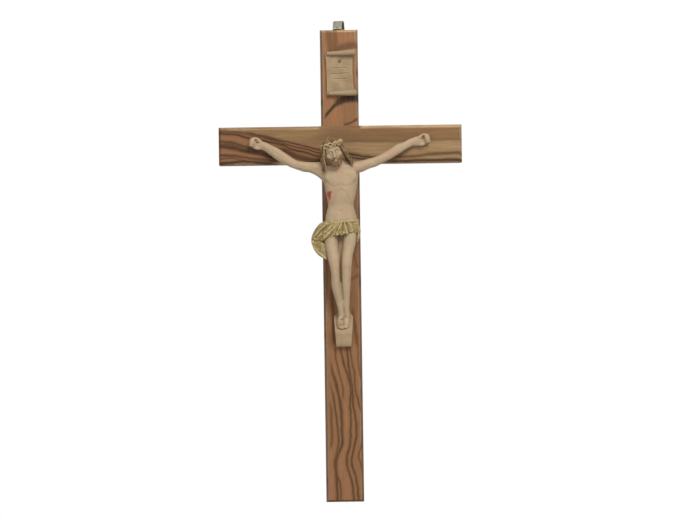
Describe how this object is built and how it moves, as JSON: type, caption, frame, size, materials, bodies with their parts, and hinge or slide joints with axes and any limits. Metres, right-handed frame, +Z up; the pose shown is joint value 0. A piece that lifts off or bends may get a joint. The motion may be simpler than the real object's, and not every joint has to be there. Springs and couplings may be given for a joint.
{
  "type": "wall crucifix",
  "caption": "Wall crucifix: half-lapped olive-wood cross with a painted figure, gilded loincloth, blank title scroll, foot block and a swivelling metal hanging loop.",
  "frame": {"origin": "centre of the crossing on the flat back face, which lies against the wall", "axes": "+Z up along the upright, +Y into the wall, the front looks along -Y, +X to the viewer's right"},
  "size_m": [0.1544, 0.0364, 0.3063],
  "materials": {
    "upright_wood": "olive wood, satin wax",
    "crossbeam_wood": "olive wood, satin wax",
    "footrest_paint": "cream paint over the casting, matt",
    "flesh_paint": "flesh paint with a brown wash, matt",
    "dowel_wood": "plain turned peg",
    "hair_paint": "brown paint, matt",
    "crown_paint": "dull greenish gold paint",
    "gilding": "gold paint, rubbed",
    "scroll_paint": "cream paint with a brown wash, matt",
    "nail_brass": "bright",
    "loop_metal": "dull bent strip",
    "loop_nail_steel": "plain"
  },
  "bodies": {
    "cross": {"upright": "upright_wood", "crossbeam": "crossbeam_wood", "footrest": "footrest_paint", "corpus": "flesh_paint", "right_arm": "flesh_paint", "left_arm": "flesh_paint", "right_shoulder_dowel": "dowel_wood", "left_shoulder_dowel": "dowel_wood", "hair_and_beard": "hair_paint", "crown_of_thorns": "crown_paint", "loincloth": "gilding", "title_scroll": "scroll_paint", "title_nail": "nail_brass", "right_hand_nail": "nail_brass", "left_hand_nail": "nail_brass", "foot_nail": "nail_brass", "loop_nail": "loop_nail_steel"},
    "loop": {"hanging_loop": "loop_metal"}
  },
  "joints": [
    {"name": "loop_swivel", "type": "hinge", "parent": "cross", "child": "loop", "pos_m": [0, -0.006, 0.07306], "axis": [0, 0, 1], "continuous": true}
  ]
}
